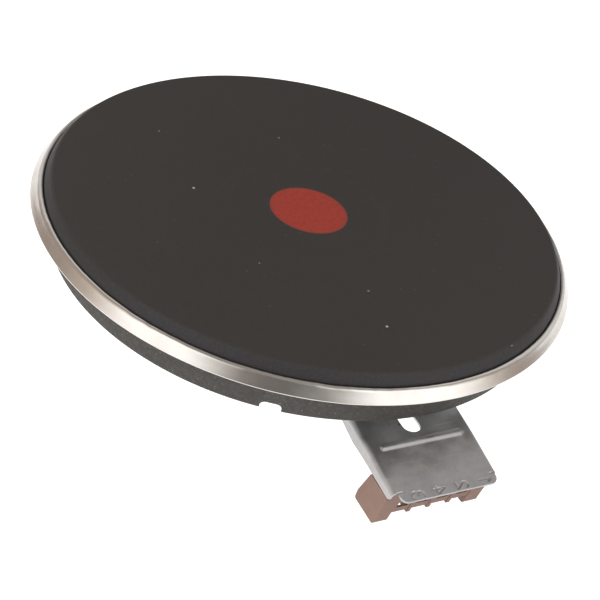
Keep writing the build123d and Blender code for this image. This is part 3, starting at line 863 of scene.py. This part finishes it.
def ring_outline():
    """The middle line of the sheet, from its foot in the plate's groove to its hem."""
    lip = EDGE_R / MM + RING_GAP
    out = ring_high.x / MM
    return [
        (lip - 1.0, 1.9, 0), (lip, 1.9, 0.4), (lip, 5.02, 0.45), (lip + 1.4, 4.86, 1.3),
        (*CROWN, 2.6), (out - 0.05, RING_T / 2, 0.28), (HEM_R, RING_T / 2, 0),
    ]


def ripple(bm):
    """Pushes the lip up and down and in and out by about a tenth of a millimetre."""
    for vert in bm.verts:
        angle = math.atan2(vert.co.y, vert.co.x)
        round_place = Vector((math.cos(angle), math.sin(angle), 0))
        lip = max(0.0, min(1.0, (vert.co.z - RIPPLE_FOOT * MM) / (RIPPLE_RISE * MM)))
        slow = noise.noise(round_place * SLOW_WAVES)
        quick = noise.noise(round_place * QUICK_WAVES + Vector((0, 0, 3)))
        vert.co.z += (slow * SLOW_RIPPLE + quick * QUICK_RIPPLE) * MM * lip
        vert.co -= round_place * quick * SIDE_RIPPLE * MM * lip


bm = lathe(ring_outline(), 540, 7)
ripple(bm)
ring = add_mesh("rolled_spill_ring", bm, [ring_steel], 50.0)
wall = ring.modifiers.new("sheet", "SOLIDIFY")
wall.thickness = RING_T * MM
wall.offset = 0.0
wall.use_even_offset = True
apply_modifiers(ring)
settle(ring, "plate", "spill_ring")

# %% [markdown]
# ## The bracket
#
# The bracket is made in the order a press shop uses. A flat blank is cut with its slot,
# window, rivet holes and slits. Its surface is then divided finely, the bead, the dish and
# the numbers are pressed in, the edges are folded down as flanges, and the whole sheet is
# bent along its length. Only the last two steps know where the sheet is in the frame.

# %% Lay out the blank
SHEET_T = 1.0
SLIT_W = 0.9
HALF_W = sheet_high.x / MM
INNER_R = 16.0
KNEE_R = 46.0
BEAD_R = 107.0
END_R = 127.0
TIP_R = -sheet_low.y / MM
TOP_Z_INNER = sheet_high.z / MM
SLOPE_B, SLOPE_C = math.atan2(11.3, 61.0), math.radians(13.5)
FOLD_R = 1.8
FOLD_START = HALF_W - FOLD_R
FOLD_LENGTH = (FOLD_R - SHEET_T / 2) * math.pi / 2
SLOT_START, SLOT_END, SLOT_WIDTH = 86.0, 102.9, 7.8
WINDOW_R, WINDOW_LENGTH, WINDOW_WIDTH = 58.6, 40.0, 11.0
RIVET_RADII, RIVET_HOLE = (24.0, 38.0), 4.0
TONGUE_LEFT, TONGUE_RIGHT = 21.9, 23.2
TONGUE_CORNER = 3.0
SLITS = ((-22.6, -18.8), (21.0, 24.0))


def along(radius):
    """Distance along the blank of a point at this distance from the plate's axis."""
    inner = min(radius, KNEE_R) - INNER_R
    middle = max(0.0, min(radius, BEAD_R) - KNEE_R) / math.cos(SLOPE_B)
    return inner + middle + max(0.0, radius - BEAD_R) / math.cos(SLOPE_C)


def unfolded(drop):
    """Distance from the blank's middle line of a point this far down a flange."""
    return FOLD_START + FOLD_LENGTH + drop - FOLD_R


def blank_outline():
    end, tip = along(END_R), along(TIP_R)
    side = [
        (0, HALF_W), (along(62), HALF_W), (along(66), unfolded(2.4)), (along(98), unfolded(6.3)),
        (end - 1.0, unfolded(4.3)), (end, unfolded(3.3)),
    ]
    left = side + [(end, TONGUE_LEFT + 0.5), (end + 0.4, TONGUE_LEFT), (tip, TONGUE_LEFT)]
    right = [(tip, TONGUE_RIGHT), (end + 0.4, TONGUE_RIGHT), (end, TONGUE_RIGHT + 0.6)]
    return [(u, -s) for u, s in left] + right + side[::-1]


def prism(bm, points, low, high):
    """A straight-sided solid over a flat outline in millimetres."""
    verts = [bm.verts.new((x * MM, y * MM, low * MM)) for x, y in points]
    face = bm.faces.new(verts)
    made = bmesh.ops.extrude_face_region(bm, geom=[face])["geom"]
    raised = [item for item in made if isinstance(item, bmesh.types.BMVert)]
    bmesh.ops.translate(bm, verts=raised, vec=(0, 0, (high - low) * MM))
    bmesh.ops.recalc_face_normals(bm, faces=bm.faces)


def rounded_bar(centre, length, width, turned=False):
    """The outline of a slot with round ends, centred on a point of the blank."""
    points = []
    for end, start in ((1, -90), (-1, 90)):
        for step in range(13):
            a = math.radians(start + step * 15)
            x = end * (length - width) / 2 + math.cos(a) * width / 2
            y = math.sin(a) * width / 2
            points.append((-y, x) if turned else (x, y))
    return [(centre[0] + u, centre[1] + s) for u, s in points]


def punches():
    """Cutters for the slot, the window, the rivet holes and the slits."""
    bm = bmesh.new()
    slot_start, slot_end = along(SLOT_START), along(SLOT_END)
    slot_middle, slot_length = (slot_start + slot_end) / 2, slot_end - slot_start
    holes = [
        rounded_bar((slot_middle, 0), slot_length, SLOT_WIDTH),
        rounded_bar((along(WINDOW_R), 0), WINDOW_LENGTH, WINDOW_WIDTH, turned=True),
    ]
    # A round hole is a slot a hair longer than it is wide, so that no two of its points meet.
    for radius in RIVET_RADII:
        holes.append(rounded_bar((along(radius), 0), RIVET_HOLE + 0.001, RIVET_HOLE))
    low, high = along(END_R) - SLIT_W / 2, along(END_R) + SLIT_W / 2
    for inner, outer in SLITS:
        holes.append([(low, inner), (high, inner), (high, outer), (low, outer)])
    for hole in holes:
        prism(bm, hole, -3, 3)
    return bm


def cut_blank():
    bm = bmesh.new()
    prism(bm, blank_outline(), -SHEET_T / 2, SHEET_T / 2)
    at_tip = (along(TIP_R) - 0.01) * MM
    corners = [
        e for e in bm.edges
        if abs(e.verts[0].co.z - e.verts[1].co.z) > 0.5 * MM and e.verts[0].co.x > at_tip
    ]
    round_off(bm, corners, TONGUE_CORNER, 8, "EDGES")
    blank = add_mesh("pressed_bracket", bm, [galvanised])
    cut_away(blank, punches(), galvanised)
    return blank


bracket = cut_blank()
print(f"blank {along(TIP_R):.1f} mm long with", len(bracket.data.polygons), "faces")

# %% [markdown]
# The strokes of the stamped numbers are short chains of points. They were stamped from
# below, so they read mirrored from above, and each number's foot is towards its left.

# %% Press the bead, the dish and the numbers
DIGIT_STROKES = {
    "1": [[(-1.0, 3.8), (0.3, 5.0), (0.3, 0.0)]],
    "2": [[
        (-1.3, 3.9), (-0.9, 4.8), (0.0, 5.0), (0.9, 4.7),
        (1.2, 3.9), (1.0, 3.0), (-1.2, 0.2), (1.5, 0.2),
    ]],
    "3": [
        [(-1.2, 5.0), (0.4, 5.0), (1.1, 4.5), (1.1, 3.3), (0.4, 2.7), (-0.3, 2.7)],
        [(0.4, 2.7), (1.3, 2.1), (1.4, 0.9), (0.6, 0.0), (-1.3, 0.0)],
    ],
    "4": [[(0.6, 5.0), (-1.4, 1.5), (1.5, 1.5)], [(0.6, 0.0), (0.6, 3.0)]],
}
DIGIT_PLACES = (("3", -14.2), ("4", -4.0), ("2", 6.6), ("1", 17.4))
DIGIT_U = 2.3
STROKE_DEPTH, BURR_HEIGHT = 0.38, 0.07
BEAD_LENGTH, BEAD_WIDTH, BEAD_HEIGHT = 39.5, 3.2, 0.8
DISH_R, DISH_DEPTH, DISH_HALF_LENGTH, DISH_HALF_WIDTH = 93.0, 1.5, 15.0, 20.0


def ease(value, low, high):
    """0 below low, 1 above high, and smooth between."""
    t = max(0.0, min(1.0, (value - low) / (high - low)))
    return t * t * (3 - 2 * t)


def from_segment(point, first, last):
    span = last - first
    t = max(0.0, min(1.0, (point - first).dot(span) / span.length_squared))
    return (point - first - span * t).length


def digit_segments():
    """Every stroke as pairs of (u, s) points on the blank."""
    pairs = []
    for text, place in DIGIT_PLACES:
        for stroke in DIGIT_STROKES[text]:
            points = [Vector((along(END_R) + DIGIT_U - x, place - 2.5 + y)) for x, y in stroke]
            pairs += list(zip(points, points[1:]))
    return pairs


STROKES = digit_segments()


def stamp_height(u, s):
    """Sunk strokes with a small raised burr beside them, in millimetres."""
    end = along(END_R)
    if not end - 1.5 < u < end + 6:
        return 0.0
    point = Vector((u, s))
    near = min(from_segment(point, first, last) for first, last in STROKES)
    burr = BURR_HEIGHT * ease(near, 0.4, 0.6) * (1 - ease(near, 0.6, 1.1))
    return burr - STROKE_DEPTH * (1 - ease(near, 0.22, 0.55))


def press_height(u, s):
    """How far the press moves the sheet at one point, in millimetres."""
    bead_u, half = along(BEAD_R), (BEAD_LENGTH - BEAD_WIDTH) / 2
    near = math.hypot(u - bead_u, max(0.0, abs(s) - half))
    bead = BEAD_HEIGHT * (1 - ease(near, 0.35, 1.9))
    reach = math.hypot((u - along(DISH_R)) / DISH_HALF_LENGTH, s / DISH_HALF_WIDTH)
    before_bead = 1 - ease(u, bead_u - 7.0, bead_u - 1.5)
    dish = -DISH_DEPTH * (1 - ease(reach, 0.0, 1.0)) * before_bead
    return bead + dish + stamp_height(u, s)


def cut_lines():
    """Places along and across the blank where its faces are divided."""
    end, bead_u = along(END_R), along(BEAD_R)
    lengthwise = [i * 1.5 for i in range(1, int(end / 1.5))]
    lengthwise += [bead_u - 2.2 + i * 0.3 for i in range(16)]
    lengthwise += [end - 0.9 + i * 0.24 for i in range(24)]
    across = [-26 + i * 0.3 for i in range(30)]
    across += [-17.4 + i * 0.26 for i in range(143)]
    across += [20.4 + i * 0.3 for i in range(20)]
    return sorted(lengthwise), sorted(across)


def crosses(face, axis, place):
    """Whether a face lies on both sides of a place along an axis."""
    spots = [vert.co[axis] for vert in face.verts]
    return min(spots) < place < max(spots)


def divide(bm):
    """Cuts the sheet's faces along the cut lines, touching only the faces that a line meets."""
    for axis, places in enumerate(cut_lines()):
        normal = Vector((0, 0, 0))
        normal[axis] = 1.0
        for place in places:
            near = [f for f in bm.faces if crosses(f, axis, place * MM)]
            edges = list(dict.fromkeys(e for f in near for e in f.edges))
            verts = list(dict.fromkeys(v for f in near for v in f.verts))
            bmesh.ops.bisect_plane(
                bm, geom=verts + edges + near, dist=1e-7,
                plane_co=normal * place * MM, plane_no=normal,
            )


bm = bmesh.new()
bm.from_mesh(bracket.data)
divide(bm)
for vert in bm.verts:
    vert.co.z += press_height(vert.co.x / MM, vert.co.y / MM) * MM
print("pressed blank:", len(bm.faces), "faces")

# %% [markdown]
# Folding and bending are worked out for each point of the flat sheet, which keeps its
# thickness even through the bends. A point's distance from the middle line says how far
# round the fold it goes, and its distance along the blank says where it sits on the path.

# %% Fold the flanges and bend the sheet
BEND_REACH = 2.5


def slope_at(u):
    """Fall of the sheet's surface at a distance along the blank, in radians."""
    knee, bead = (
        ease(u, along(radius) - BEND_REACH, along(radius) + BEND_REACH)
        for radius in (KNEE_R, BEAD_R)
    )
    return SLOPE_B * knee + (SLOPE_C - SLOPE_B) * bead


def bent_path():
    """Points (distance from the axis, height) of the top surface, every half millimetre."""
    points = [(INNER_R, TOP_Z_INNER)]
    for step in range(int(along(TIP_R) * 2) + 4):
        angle = slope_at(step / 2 + 0.25)
        radius, height = points[-1]
        points.append((radius + math.cos(angle) / 2, height - math.sin(angle) / 2))
    return points


PATH = bent_path()


def place_on_path(u, s, lift):
    """Frame position of a blank point after folding and bending."""
    side = 1 if s > 0 else -1
    middle = FOLD_R - SHEET_T / 2
    turn = max(0.0, min(math.pi / 2, (abs(s) - FOLD_START) / middle))
    straight = max(0.0, abs(s) - FOLD_START - FOLD_LENGTH)
    reach = min(abs(s), FOLD_START) + math.sin(turn) * (middle + lift)
    drop = -math.cos(turn) * (middle + lift) + middle + straight
    index = max(0, min(len(PATH) - 2, int(u * 2)))
    part = u * 2 - index
    first, last = PATH[index], PATH[index + 1]
    radius = first[0] + (last[0] - first[0]) * part
    height = first[1] + (last[1] - first[1]) * part
    angle = slope_at(u)
    below = drop + SHEET_T / 2
    inwards, down = math.sin(angle) * below, math.cos(angle) * below
    return Vector((side * reach, inwards - radius, height - down)) * MM


for vert in bm.verts:
    vert.co = place_on_path(vert.co.x / MM, vert.co.y / MM, vert.co.z / MM)
close_up(bm)
bm.to_mesh(bracket.data)
bm.free()
bracket.data.shade_smooth()
bracket.data.set_sharp_from_angle(angle=math.radians(40))
settle(bracket, "plate", "terminal_bracket")
